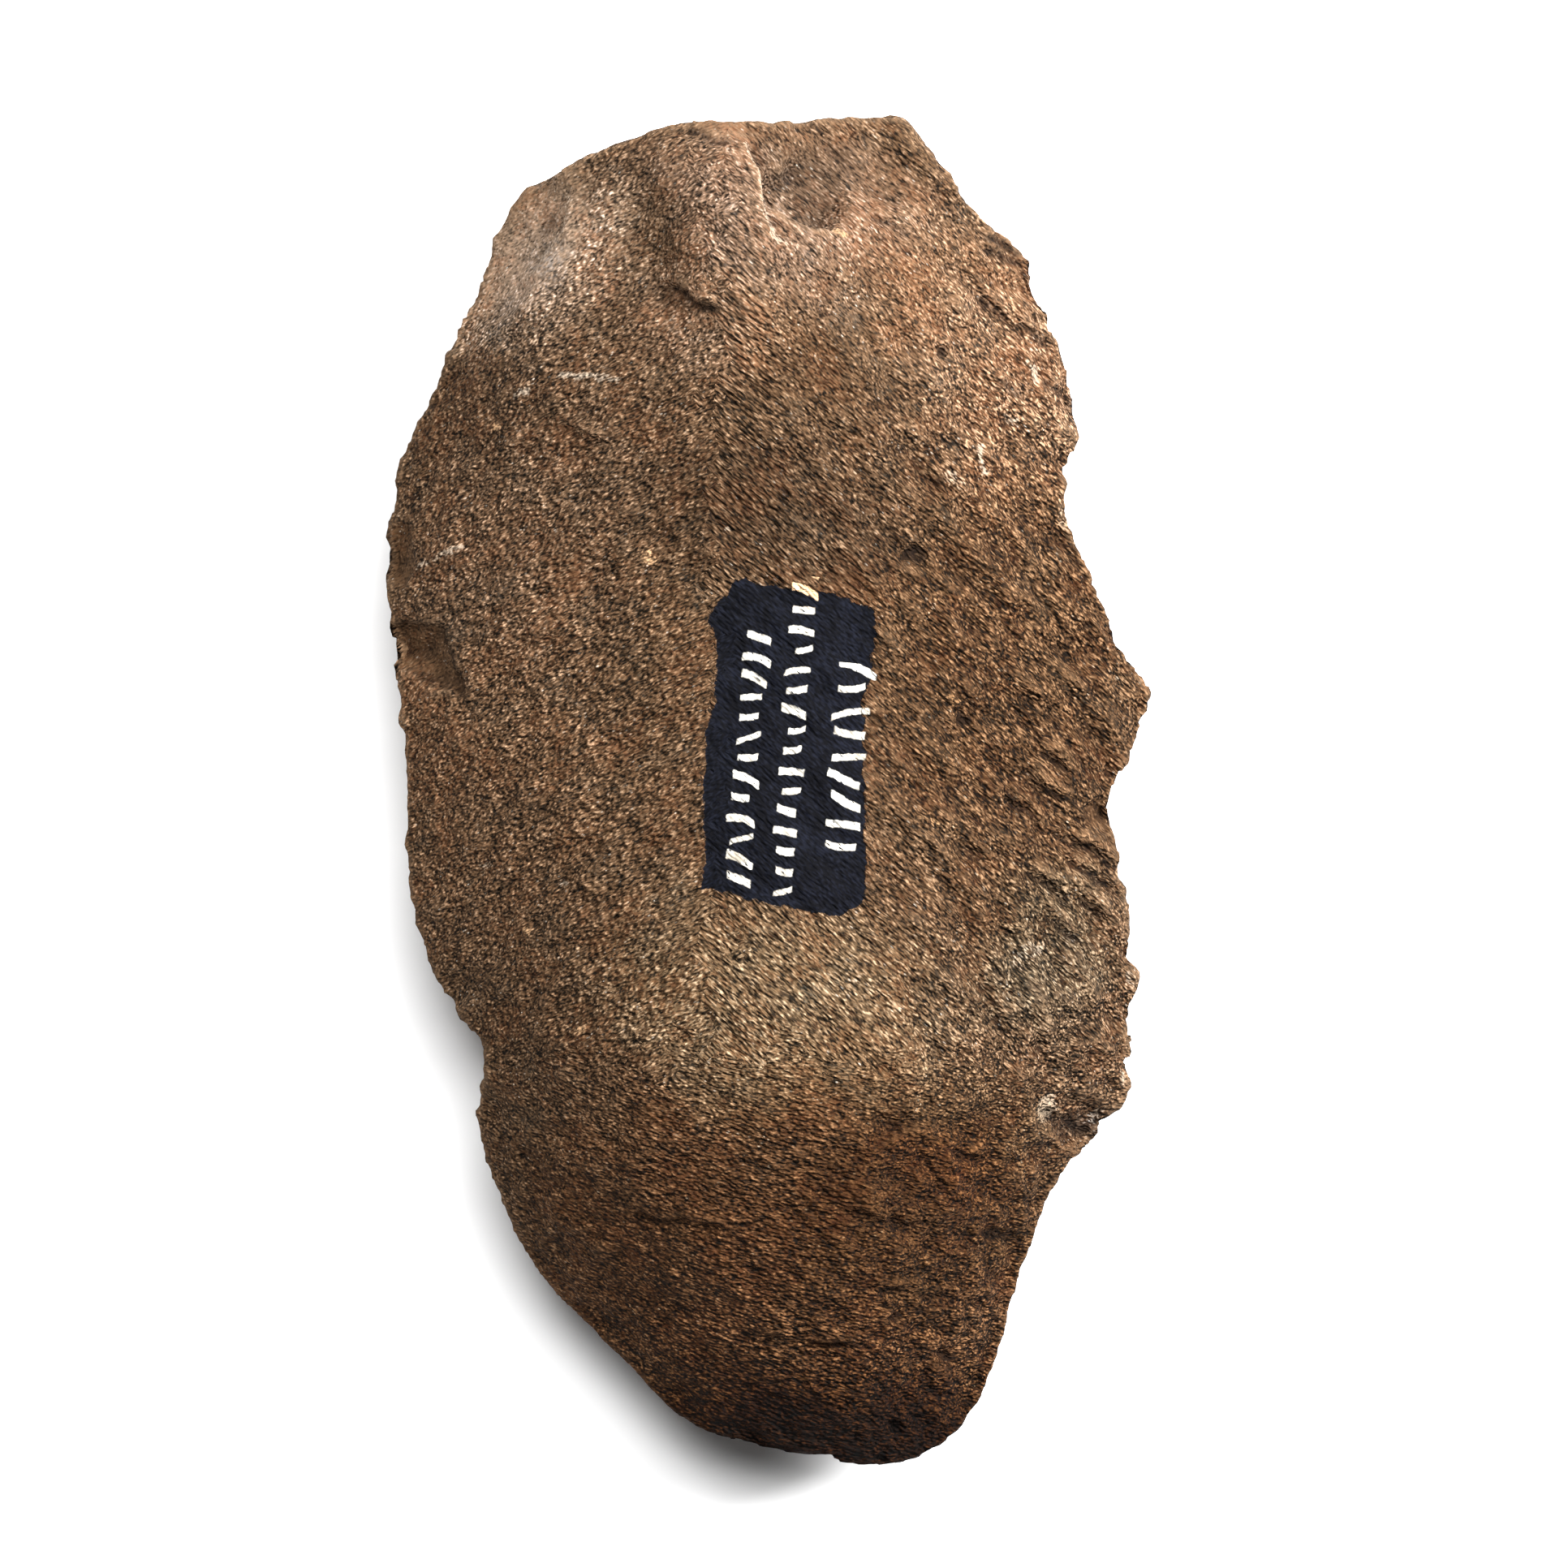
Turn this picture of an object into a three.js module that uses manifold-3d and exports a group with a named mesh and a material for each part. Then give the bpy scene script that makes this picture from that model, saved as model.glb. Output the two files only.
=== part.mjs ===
// A large knapped stone scraper: one struck flake that lies on its worked back, with the bulb face up.
// Millimetres, +Z up, +Y towards the struck butt, origin on the floor under the middle of the stone.
import * as THREE from "three";
import { mergeVertices } from "three/addons/utils/BufferGeometryUtils.js";
import Module from "manifold-3d";

// The edge seen from above, as four stretches between the stone's corners: the points that each curve
// passes through. The butt and the tip run from left to right, the sides from the tip to the butt.
const TIP_LEFT = [-18.2, -58.4];
const TIP_RIGHT = [21.9, -67];
const BUTT_LEFT = [-26, 64.5];
const BUTT_RIGHT = [14.4, 72.5];
const BUTT = [
  BUTT_LEFT,
  [-20, 67.5],
  [-13.9, 69.8],
  [-7.8, 71.2],
  [-1.7, 71.2],
  [6.2, 72.1],
  BUTT_RIGHT,
];
const TIP = [
  TIP_LEFT,
  [-9.5, -67],
  [-4.3, -69.6],
  [4.5, -71.3],
  [11.4, -72.5],
  [18.4, -70.4],
  TIP_RIGHT,
];
const LEFT_SIDE = [
  TIP_LEFT,
  [-25.2, -50.7],
  [-28.4, -44.2],
  [-31.3, -34.5],
  [-30.2, -27.6],
  [-33.4, -23.4],
  [-36.4, -18],
  [-38.4, -9.6],
  [-38.9, 4.3],
  [-40.5, 17.4],
  [-40.7, 26.5],
  [-39.2, 36.4],
  [-35.7, 43.6],
  [-31.3, 53.6],
  [-28.3, 61.6],
  BUTT_LEFT,
];
const RIGHT_SIDE = [
  TIP_RIGHT,
  [24.1, -62.9],
  [25.8, -55.9],
  [27.8, -49.4],
  [30.3, -42.8],
  [34, -37.6],
  [38.2, -32.3],
  [39.3, -27],
  [39.2, -18.4],
  [38.1, -10.5],
  [36.8, -4],
  [36.6, -0.5],
  [38.6, 3.8],
  [40.3, 7.8],
  [41, 11.2],
  [38.4, 15.2],
  [35.4, 21.8],
  [32.3, 28.6],
  [31.8, 34],
  [33.8, 40.6],
  [31.8, 46.2],
  [29.7, 53.5],
  [28.9, 56.7],
  [22.9, 61.7],
  [17, 68.9],
  BUTT_RIGHT,
];

// The line under the highest part of the bulb face, from the butt end to the tip end.
const SPINE_START = new THREE.Vector2(-3, 46);
const SPINE_END = new THREE.Vector2(4, -44);

// Heights above the floor at stations along the length: the crest of the bulb face, and the keel of the
// back. The keel would reach below the floor, which cuts it to a flat spot.
const STATIONS = [-73, -60, -45, -30, -8, 18, 40, 60, 73];
const CREST = [15, 22, 28, 31, 30.4, 29.6, 31, 31.4, 28];
const KEEL = [10, 6, 1.5, -2, -3.5, -3.5, -1.5, 5, 12];

// How the bulb face falls to either side of the spine: at each station how far off the edge is and how
// high it is, and how round the fall is. 1 is a straight slope, more is rounder.
const LEFT_FLANK = {
  reach: [17, 23, 32, 36, 39.5, 39.5, 35, 26, 21],
  edge: [12, 13.5, 15.5, 17, 18, 18.5, 19, 21, 25],
  rounding: 2.3,
};
const RIGHT_FLANK = {
  reach: [15, 20, 27, 34, 38, 39, 36.5, 30, 24],
  edge: [12, 12, 13, 14.5, 16, 16, 16, 18, 23],
  rounding: 1.8,
};
const BACK_ROUNDING = 2;

// The worn edge is a narrow blunt band. At the butt it widens to the steep platform that was struck.
const EDGE_BAND = 1;
const PLATFORM = { height: 8, begins: 52, ends: 70, undercut: 0.12 };

// Broad swellings and hollows of the bulb face: the bulb of percussion under the platform, and the
// hollow down its left flank.
const SWELLS = [
  { at: [-1.5, 58.5], across: 8, along: 12, height: 2.8 },
  { at: [-13, 53], across: 7, along: 12, height: -1.5 },
];

// Flake scars are shallow bowls: the middle, the reach and width, the depth, and the direction of
// the reach in degrees from +X. Those on the bulb face come first, then those on the back.
const FACE_SCARS = [
  { at: [9.5, 69.5], reach: 27, width: 20, depth: 2.4, turn: 8 },
  { at: [8, 62], reach: 20, width: 11, depth: 1, turn: -30 },
  { at: [-27, 62], reach: 26, width: 14, depth: 1.2, turn: 56 },
  { at: [-39.8, 14.4], reach: 13, width: 11.5, depth: 0.6, turn: 100 },
];
const BACK_SCARS = [
  { at: [12, 35], reach: 44, width: 54, depth: 5, turn: 24 },
  { at: [18, 1], reach: 43, width: 38, depth: 4, turn: -15 },
  { at: [13, -28], reach: 46, width: 46, depth: 4.6, turn: -30 },
  { at: [-1, -46], reach: 42, width: 38, depth: 3.4, turn: -95 },
  { at: [-19, -12], reach: 38, width: 50, depth: 4.4, turn: 186 },
  { at: [-21, 23], reach: 40, width: 46, depth: 4.2, turn: 165 },
  { at: [-6, 50], reach: 40, width: 52, depth: 3.4, turn: 105 },
  { at: [-30, 4], reach: 15, width: 22, depth: 1.5, turn: 185 },
  { at: [-27, 43], reach: 15, width: 18, depth: 1.3, turn: 150 },
  { at: [-17, -40], reach: 14, width: 22, depth: 1.2, turn: -140 },
  { at: [10, -61], reach: 15, width: 26, depth: 1.3, turn: -80 },
];
const BOWL_FULLNESS = 4;

// Small scars in a row on the back of the right edge, between two stations. Every other one is smaller.
const RETOUCH = {
  from: -26,
  to: 49,
  count: 9,
  inset: 6.6,
  reach: 13,
  width: 14,
  depth: 1.3,
  smaller: 0.62,
};

// The mesh: cells across the stone and along it, and the facets of the flake tools.
const ACROSS = 30;
const ALONG = 52;
const TOOL_FACET = 4;
const MIN_SPLITS = 5;
const SLOPE_STEP = 0.5;
const FLOOR_BLOCK = 200;

// The side of the stone that a flake is struck from.
const UP = 1;
const DOWN = -1;

const { clamp, degToRad, lerp, radToDeg, smoothstep } = THREE.MathUtils;
const stone = new THREE.MeshStandardMaterial({ color: 0x6e523d, roughness: 0.92, metalness: 0 });

const wasm = await Module();
wasm.setup();

const butt = stretch(BUTT, ACROSS);
const tip = stretch(TIP, ACROSS);
const leftSide = stretch(LEFT_SIDE, ALONG);
const rightSide = stretch(RIGHT_SIDE, ALONG);
const edge = [
  ...tip.slice(0, -1),
  ...rightSide.slice(0, -1),
  ...butt.slice(1).reverse(),
  ...leftSide.slice(1).reverse(),
];
const crestHeight = profile(CREST);
const keelHeight = profile(KEEL);
const leftFlank = flank(LEFT_FLANK);
const rightFlank = flank(RIGHT_FLANK);

// Evenly spaced points of the smooth curve through one stretch of the edge.
function stretch(points, steps) {
  const through = points.map(([x, y]) => new THREE.Vector3(x, y, 0));
  const curve = new THREE.CatmullRomCurve3(through, false, "centripetal");
  return curve.getSpacedPoints(steps).map((p) => new THREE.Vector2(p.x, p.y));
}

// A smooth height along the length, through one value at each station.
function profile(values) {
  const spline = new THREE.CubicInterpolant(STATIONS, values, 1);
  return (y) => spline.evaluate(clamp(y, STATIONS[0], STATIONS.at(-1)))[0];
}

// How far the bulb face has dropped below its crest, at a distance out from the spine.
function flank({ reach, edge, rounding }) {
  const reachAt = profile(reach);
  const edgeAt = profile(edge);
  return (out, y) => (crestHeight(y) - edgeAt(y)) * (out / reachAt(y)) ** rounding;
}

// The nearest point to p on the straight line from a to b.
function nearestOnLine(p, a, b) {
  const along = b.clone().sub(a);
  const share = along.dot(p.clone().sub(a)) / along.lengthSq();
  return a.clone().addScaledVector(along, clamp(share, 0, 1));
}

function nearestOnSpine(p) {
  return nearestOnLine(p, SPINE_START, SPINE_END);
}

function distanceToEdge(p) {
  const distances = edge.map((a, k) => p.distanceTo(nearestOnLine(p, a, edge[(k + 1) % edge.length])));
  return Math.min(...distances);
}

// The level direction from the spine out through p.
function outwardFrom(p) {
  return p.clone().sub(nearestOnSpine(p)).normalize();
}

// How far out a point is: 0 on the spine, 1 on the edge.
function outness(p) {
  const fromSpine = p.distanceTo(nearestOnSpine(p));
  return fromSpine / (fromSpine + distanceToEdge(p));
}

// The depth of the blunt band below the edge.
function bandDepth(p) {
  return lerp(EDGE_BAND, PLATFORM.height, smoothstep(p.y, PLATFORM.begins, PLATFORM.ends));
}

// What the swellings and hollows add to the bulb face.
function swellHeight(p) {
  const heights = SWELLS.map(({ at, across, along, height }) => {
    const reach = ((p.x - at[0]) / across) ** 2 + ((p.y - at[1]) / along) ** 2;
    return height * Math.exp(-reach);
  });
  return heights.reduce((sum, height) => sum + height);
}

// The bulb face: a long crest that rounds over to the sides, with the swellings on it.
function faceHeight(p) {
  const along = (p.y - SPINE_START.y) / (SPINE_END.y - SPINE_START.y);
  const across = p.x - lerp(SPINE_START.x, SPINE_END.x, along);
  const drop = across < 0 ? leftFlank(-across, p.y) : rightFlank(across, p.y);
  return crestHeight(p.y) - drop + swellHeight(p);
}

// The back: from the keel up to the foot of the blunt band.
function backHeight(p) {
  return lerp(keelHeight(p.y), faceHeight(p) - bandDepth(p), outness(p) ** BACK_ROUNDING);
}

// A point inside the edge, blended from the four stretches that surround it.
function patchPoint(i, j) {
  const [u, v] = [i / ACROSS, j / ALONG];
  const [x, y] = ["x", "y"].map((axis) => {
    const fromSides = lerp(leftSide[j][axis], rightSide[j][axis], u);
    const fromEnds = lerp(tip[i][axis], butt[i][axis], v);
    const atTip = lerp(tip[0][axis], tip[ACROSS][axis], u);
    const atButt = lerp(butt[0][axis], butt[ACROSS][axis], u);
    return fromSides + fromEnds - lerp(atTip, atButt, v);
  });
  return new THREE.Vector2(x, y);
}

// The same point on the back, drawn in towards the spine where the platform leans.
function backPoint(p) {
  const lean = PLATFORM.undercut * bandDepth(p) * outness(p);
  return p.clone().addScaledVector(outwardFrom(p), -lean);
}

// The struck flake before it was worked: a grid over the face, one under the back, and the band between.
function blank() {
  const columns = ACROSS + 1;
  const rows = ALONG + 1;
  const cells = Array.from({ length: columns * rows }, (_, n) => [n % columns, Math.floor(n / columns)]);
  const plan = cells.map(([i, j]) => patchPoint(i, j));
  const face = plan.map((p) => new THREE.Vector3(p.x, p.y, faceHeight(p)));
  const back = plan.map(backPoint).map((p) => new THREE.Vector3(p.x, p.y, backHeight(p)));
  const below = plan.length;
  const index = [];
  for (let j = 0; j < ALONG; j++) {
    for (let i = 0; i < ACROSS; i++) {
      const a = j * columns + i;
      const b = a + 1;
      const c = b + columns;
      const d = a + columns;
      index.push(a, b, c, a, c, d);
      index.push(below + a, below + c, below + b, below + a, below + d, below + c);
    }
  }
  const round = boundary(columns, rows);
  round.forEach((a, k) => {
    const b = round[(k + 1) % round.length];
    index.push(below + a, below + b, b, below + a, b, a);
  });
  return new THREE.BufferGeometry().setFromPoints([...face, ...back]).setIndex(index);
}

// The grid's outermost points in order, anticlockwise from the tip's left corner.
function boundary(columns, rows) {
  const count = (length, at) => Array.from({ length: length - 1 }, (_, k) => at(k));
  return [
    ...count(columns, (k) => k),
    ...count(rows, (k) => k * columns + columns - 1),
    ...count(columns, (k) => rows * columns - 1 - k),
    ...count(rows, (k) => (rows - 1 - k) * columns),
  ];
}

// The upward normal of a face at p.
function upwardNormal(heightAt, p) {
  const rise = (dx, dy) => {
    const ahead = heightAt(new THREE.Vector2(p.x + dx, p.y + dy));
    const behind = heightAt(new THREE.Vector2(p.x - dx, p.y - dy));
    return ahead - behind;
  };
  return new THREE.Vector3(-rise(SLOPE_STEP, 0), -rise(0, SLOPE_STEP), 2 * SLOPE_STEP).normalize();
}

// An ellipsoid with half-axes along its heading, across it, and along its outward direction.
function ellipsoid(middle, heading, outward, halfAxes) {
  const across = new THREE.Vector3().crossVectors(outward, heading);
  const [long, wide, deep] = halfAxes;
  const splits = Math.max(MIN_SPLITS, Math.round(Math.max(...halfAxes) / TOOL_FACET));
  const placing = new THREE.Matrix4().makeBasis(
    heading.clone().multiplyScalar(long),
    across.multiplyScalar(wide),
    outward.clone().multiplyScalar(deep),
  );
  return new THREE.IcosahedronGeometry(1, splits).applyMatrix4(placing.setPosition(middle));
}

// The stone that one flake took away, down to its depth below the face that it was struck from.
function flake({ at, reach, width, depth, turn }, heightAt, side) {
  const p = new THREE.Vector2(...at);
  const outward = upwardNormal(heightAt, p).multiplyScalar(side);
  const angle = degToRad(turn);
  const level = new THREE.Vector3(Math.cos(angle), Math.sin(angle), 0);
  const heading = level.projectOnPlane(outward).normalize();
  const deep = BOWL_FULLNESS * depth;
  const lift = deep - depth;
  const mouth = Math.sqrt(1 - (lift / deep) ** 2);
  const middle = new THREE.Vector3(p.x, p.y, heightAt(p)).addScaledVector(outward, lift);
  return ellipsoid(middle, heading, outward, [reach / 2 / mouth, width / 2 / mouth, deep]);
}

// The row of small scars behind the right edge.
function retouchFlakes() {
  const { from, to, count, inset, reach, width, depth, smaller } = RETOUCH;
  return Array.from({ length: count }, (_, k) => {
    const y = lerp(from, to, k / (count - 1));
    const onEdge = rightSide.find((e) => e.y >= y);
    const scale = k % 2 ? smaller : 1;
    const outward = outwardFrom(onEdge);
    const at = onEdge.clone().addScaledVector(outward, -inset * scale).toArray();
    const turn = radToDeg(outward.angle());
    const scar = { at, reach: reach * scale, width: width * scale, depth: depth * scale, turn };
    return flake(scar, backHeight, DOWN);
  });
}

// Everything under the floor line.
function belowFloor() {
  return new THREE.BoxGeometry(FLOOR_BLOCK, FLOOR_BLOCK, FLOOR_BLOCK).translate(0, 0, -FLOOR_BLOCK / 2);
}

function solidOf(geometry) {
  const bare = geometry.clone();
  bare.deleteAttribute("normal");
  bare.deleteAttribute("uv");
  const { index, attributes } = mergeVertices(bare);
  const triVerts = new Uint32Array(index.array);
  const vertProperties = attributes.position.array;
  return new wasm.Manifold(new wasm.Mesh({ numProp: 3, vertProperties, triVerts }));
}

function geometryOf(solid) {
  const { vertProperties, triVerts } = solid.getMesh();
  return new THREE.BufferGeometry()
    .setAttribute("position", new THREE.BufferAttribute(vertProperties, 3))
    .setIndex(new THREE.BufferAttribute(triVerts, 1));
}

// The blank with every flake struck off, set with the middle of its length and width over the origin.
function workedStone() {
  const tools = [
    ...FACE_SCARS.map((scar) => flake(scar, faceHeight, UP)),
    ...BACK_SCARS.map((scar) => flake(scar, backHeight, DOWN)),
    ...retouchFlakes(),
    belowFloor(),
  ];
  const worked = tools.reduce((left, tool) => left.subtract(solidOf(tool)), solidOf(blank()));
  const geometry = geometryOf(worked);
  geometry.computeBoundingBox();
  const middle = geometry.boundingBox.getCenter(new THREE.Vector3());
  return geometry.translate(-middle.x, -middle.y, 0);
}

const scraper = new THREE.Group();
const stoneScraper = new THREE.Mesh(workedStone(), stone);
stoneScraper.name = "stone_scraper";
scraper.add(stoneScraper);

export default scraper;
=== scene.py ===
# A large knapped stone scraper that lies on its worked back, bulb face up, seen from straight above.
import math
from collections import namedtuple

import bmesh
import bpy
import numpy as np
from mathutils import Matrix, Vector, noise


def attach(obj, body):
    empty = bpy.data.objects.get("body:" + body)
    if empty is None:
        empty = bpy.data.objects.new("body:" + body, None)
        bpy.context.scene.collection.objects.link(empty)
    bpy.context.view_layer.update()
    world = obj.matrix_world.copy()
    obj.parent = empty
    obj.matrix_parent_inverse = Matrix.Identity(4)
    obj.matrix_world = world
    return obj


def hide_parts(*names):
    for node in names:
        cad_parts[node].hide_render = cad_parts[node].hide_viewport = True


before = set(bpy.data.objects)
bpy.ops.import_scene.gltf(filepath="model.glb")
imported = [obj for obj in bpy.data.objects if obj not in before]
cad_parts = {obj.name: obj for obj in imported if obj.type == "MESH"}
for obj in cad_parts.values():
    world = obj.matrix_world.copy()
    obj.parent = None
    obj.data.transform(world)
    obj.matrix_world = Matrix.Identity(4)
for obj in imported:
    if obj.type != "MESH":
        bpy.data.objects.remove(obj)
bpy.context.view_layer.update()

# Places and sizes on the stone are in millimetres from the middle of its length and width, +Y to the butt.
MM = 0.001
NODE = "stone_scraper"
PIECE = "weathered_stone"

# The even mesh that carries the relief.
MESH_STEP = 0.57
MERGE_DISTANCE = 0.001

# The relief that covers the whole stone: how high and how wide each kind is, and how far the form is
# smoothed first.
RELIEF = {
    "Smoothing": 12,
    "Swell height": 0.8,
    "Swell size": 15.0,
    "Lump height": 0.6,
    "Lump size": 3.2,
    "Hackle height": 0.45,
    "Hackle size": 1.5,
    "Ledge height": 1.6,
    "Ledge size": 5.0,
    "Rim chip height": 0.6,
    "Rim chip size": 2.4,
    "Rim growth": 0.45,
    "Seed": 3.0,
}

# Where that relief changes: from one x or y to another, over a tilt of the surface, or just above the floor.
# The gains are how much higher it stands on the right.
RIGHT_RELIEF = (-10, 30)
RIGHT_LEDGES = (0, 28)
LUMP_GAIN = 0.9
HACKLE_GAIN = 0.4
RIM_TILT = (0.35, 0.8)
SMOOTHED_TILT = (0.4, 0.85)
RIM_SMOOTHING = 0.1
FLOOR_CONTACT = (0.1, 1.6)
CALM_TIP = (-48, -32)
CALM_TIP_SHARE = 0.7
SMOOTHED_TIP = (-64, -54)
SMOOTHED_TIP_SHARE = 0.7

# The fracture ran out from the bulb: its streaks fall away to either side of the spine, and run flatter
# low down. Each has its fall to the right in degrees, and how many times as long as wide it is.
Grain = namedtuple("Grain", "fall stretch")
LEFT_GRAIN = Grain(-27, 2.2)
RIGHT_GRAIN = Grain(40, 3.0)
LOW_GRAIN = Grain(14, 2.1)
LOW_START = -28
SPINE_X = -6
SPINE_BLEND = 16
GRAIN_BORDER_REACH = 12

# Scarps that flake scars left on the bulb face. Each runs through a few places. The stone stands up or lies
# down by left and right, and that fades out over each side's reach. Its lip may be worn pale, and its foot
# may be darkened with painted shade.
Scarp = namedtuple("Scarp", "places left left_reach right right_reach pale dark")
SCARPS = [
    Scarp([(-3.4, 71.1), (-1.4, 66.7), (-0.6, 61.5), (0.5, 59.3), (4.5, 57.1)], -0.9, 5, 0.3, 1.6, 1.0, 0),
    Scarp([(-1.4, 65.9), (0.5, 63), (3.1, 61.1), (7.5, 59.6)], -3.2, 9, 0.3, 1.4, 1.0, 0.6),
    Scarp([(-11.8, 54.6), (-7.8, 52.9), (-4.3, 51)], 0.8, 4.5, -0.7, 4, 0.3, 0.8),
    Scarp([(-8, 56.6), (-6.2, 54), (-4.2, 51.4)], -0.2, 2.5, 0.3, 3, 0.3, 0),
    Scarp([(10.6, 62.6), (13.2, 61), (16, 60)], 0.6, 2.5, -0.5, 2.5, 0.2, 0.6),
    Scarp([(-9.6, 71.2), (-5.6, 69.6), (-3, 69.4)], 0.3, 1.5, -0.6, 2, 0.4, 0.7),
    Scarp([(-21.3, 66), (-22.6, 60.2), (-24.8, 56.7), (-27.4, 54)], 0.3, 2.0, -0.3, 4, 0.7, 0),
    Scarp([(14, 9.6), (17, 8.6), (20.4, 6.8)], 0.4, 2, -0.4, 2, 0.2, 0.5),
    Scarp([(-24, 40), (-19, 38.4), (-16.5, 37.5)], 0.4, 2.5, -0.4, 2.5, 0.1, 0.3),
    Scarp([(29, -33.6), (32.5, -34.6), (36.5, -37)], 0.5, 2.5, -0.7, 3, 0.3, 0.5),
    Scarp([(10.7, -37.8), (13.5, -35.8), (16.7, -34.5)], -0.5, 3, 0.6, 4, 0, 0.6),
    Scarp([(15.6, -36.5), (19.5, -37.6), (23.5, -39)], 0.6, 3, -0.6, 3, 0.2, 0.4),
    Scarp([(6, -43.5), (12, -45), (19, -46)], 0.5, 3, -0.5, 2.5, 0.1, 0.4),
    Scarp([(9, -52), (16, -53), (24, -54.5)], 0.5, 3, -0.5, 2.5, 0.1, 0.4),
    Scarp([(-2, -57.5), (6, -58.5), (13, -59)], 0.4, 3, -0.4, 2.5, 0.1, 0.3),
    Scarp([(-16, -44), (-9, -45.5), (-3, -46.5)], 0.4, 3, -0.4, 2.5, 0.1, 0.2),
]
SCARP_START = (0, 0.2)
SCARP_END = (0.75, 1)
LIP_HALF_WIDTH = 0.4
LIP_REACH = 0.9
FOOT_OFFSET = 0.3

# Small flakes that came off the edge: each one's outline, which runs on beyond the stone, the step down at
# its border, how steeply its floor falls from there, and how dark the painted shade along its border is.
Flake = namedtuple("Flake", "outline step slope dark")
LEFT_FLAKE_OUTLINE = [
    (-46, 18.6), (-46, 14.4), (-37.8, 12.9), (-36.6, 11.7),
    (-35.4, 11.2), (-32.5, 10.3), (-33, 12.2), (-35.2, 18.5),
]
LEFT_BEVEL_OUTLINE = [(-46, 31), (-46, 22), (-39.2, 22), (-38.3, 24.2), (-38.4, 29)]
RIGHT_FLAKE_OUTLINE = [(40, 0.4), (36, 0.2), (33.7, -1.2), (33.9, -3.6), (36.4, -4), (40, -3.6)]
EDGE_FLAKES = [
    Flake(LEFT_FLAKE_OUTLINE, 0.7, 0.3, 0.6),
    Flake(LEFT_BEVEL_OUTLINE, 0.3, 0.3, 0.3),
    Flake(RIGHT_FLAKE_OUTLINE, 0.3, 0.2, 0.3),
]
FLAKE_REACH = 4.0
FLAKE_STEP_WIDTH = 0.4
FLAKE_SMOOTH = 0.8
FLAKE_SMOOTH_WIDTH = 0.5
FLAKE_BORDER_OFFSET = 0.2
FLAKE_BORDER_REACH = 0.7

# Thin cracks by the right edge below the butt, and ripples lower on the same edge.
FISSURES = [
    [(22.4, 60.3), (25.1, 59.4), (27.9, 57.8)],
    [(22.8, 58.9), (24.4, 58.2), (27.9, 57)],
    [(27.2, 56.6), (29.4, 55.2)],
    [(22, 53.9), (26.5, 50.9)],
    [(26, 51.2), (30.4, 48.4)],
    [(29.3, 44.5), (32.8, 42.7)],
    [(24.4, 44.9), (27.3, 42.9)],
]
RIPPLES = [
    [(28.4, 5.4), (32.9, 2.1)],
    [(26.7, 3.4), (30, 1), (33, -0.6)],
    [(25.1, 0.9), (29.6, -3.6)],
    [(29.2, -3.2), (34.6, -5.7), (38, -8.6)],
    [(31, -6.3), (37.8, -10.4)],
    [(27.6, -7.3), (30.8, -10.6)],
    [(30.2, -12.8), (33.9, -16)],
    [(33, -10.8), (36.4, -13.2)],
]
ALL_SCARPS = [
    *SCARPS,
    *[Scarp(line, 0.3, 1.6, -0.4, 1.2, 0.1, 0.8) for line in FISSURES],
    *[Scarp(line, 0.8, 2.6, -0.9, 1.6, 0.1, 0.6) for line in RIPPLES],
]

# Round places on the bulb face: the middle, the half sizes along and across, the turn in degrees, and how
# high each stands.
Spot = namedtuple("Spot", "at along across turn height")
FORMS = [
    Spot((-6, 60), 15, 8, 105, 0.7),
    Spot((-17, 57.5), 16, 10, 118, -0.65),
    Spot((12, 66), 14, 6, -20, -0.5),
    Spot((31, -21), 8, 5, 40, 0.6),
    Spot((33, -35), 5, 3.4, -25, -0.9),
]
PITS = [
    Spot((18.4, 47.5), 0.9, 0.7, 0, -0.5),
    Spot((15.4, 25.7), 1.5, 1.2, 0, -0.9),
    Spot((34.1, 18.3), 1.0, 0.7, 40, -0.5),
    Spot((20.8, 8), 1.3, 0.9, -40, -0.7),
    Spot((13.4, -56.3), 1.2, 0.8, 0, -0.7),
    Spot((19, -60.4), 1.5, 0.9, -20, -0.7),
    Spot((13.8, -67.8), 1.3, 0.7, 0, -0.6),
    Spot((24.4, -47.2), 2.0, 0.9, -20, -0.7),
]
CHIPS = [
    Spot((-29.2, 39.2), 1.2, 0.8, -10, 0.2),
    Spot((-13, 25.3), 1.6, 0.8, -25, 0.3),
    Spot((19.2, 10), 1.5, 0.7, -25, 0.4),
    Spot((16.8, -2.6), 1.5, 0.7, -15, 0.4),
    Spot((7.4, 59.8), 1.6, 0.8, -20, 0.2),
    Spot((-20.3, -24.8), 1.0, 0.7, 0, 0.3),
    Spot((-25.9, -14.5), 0.9, 0.7, 0, 0.3),
]
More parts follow.
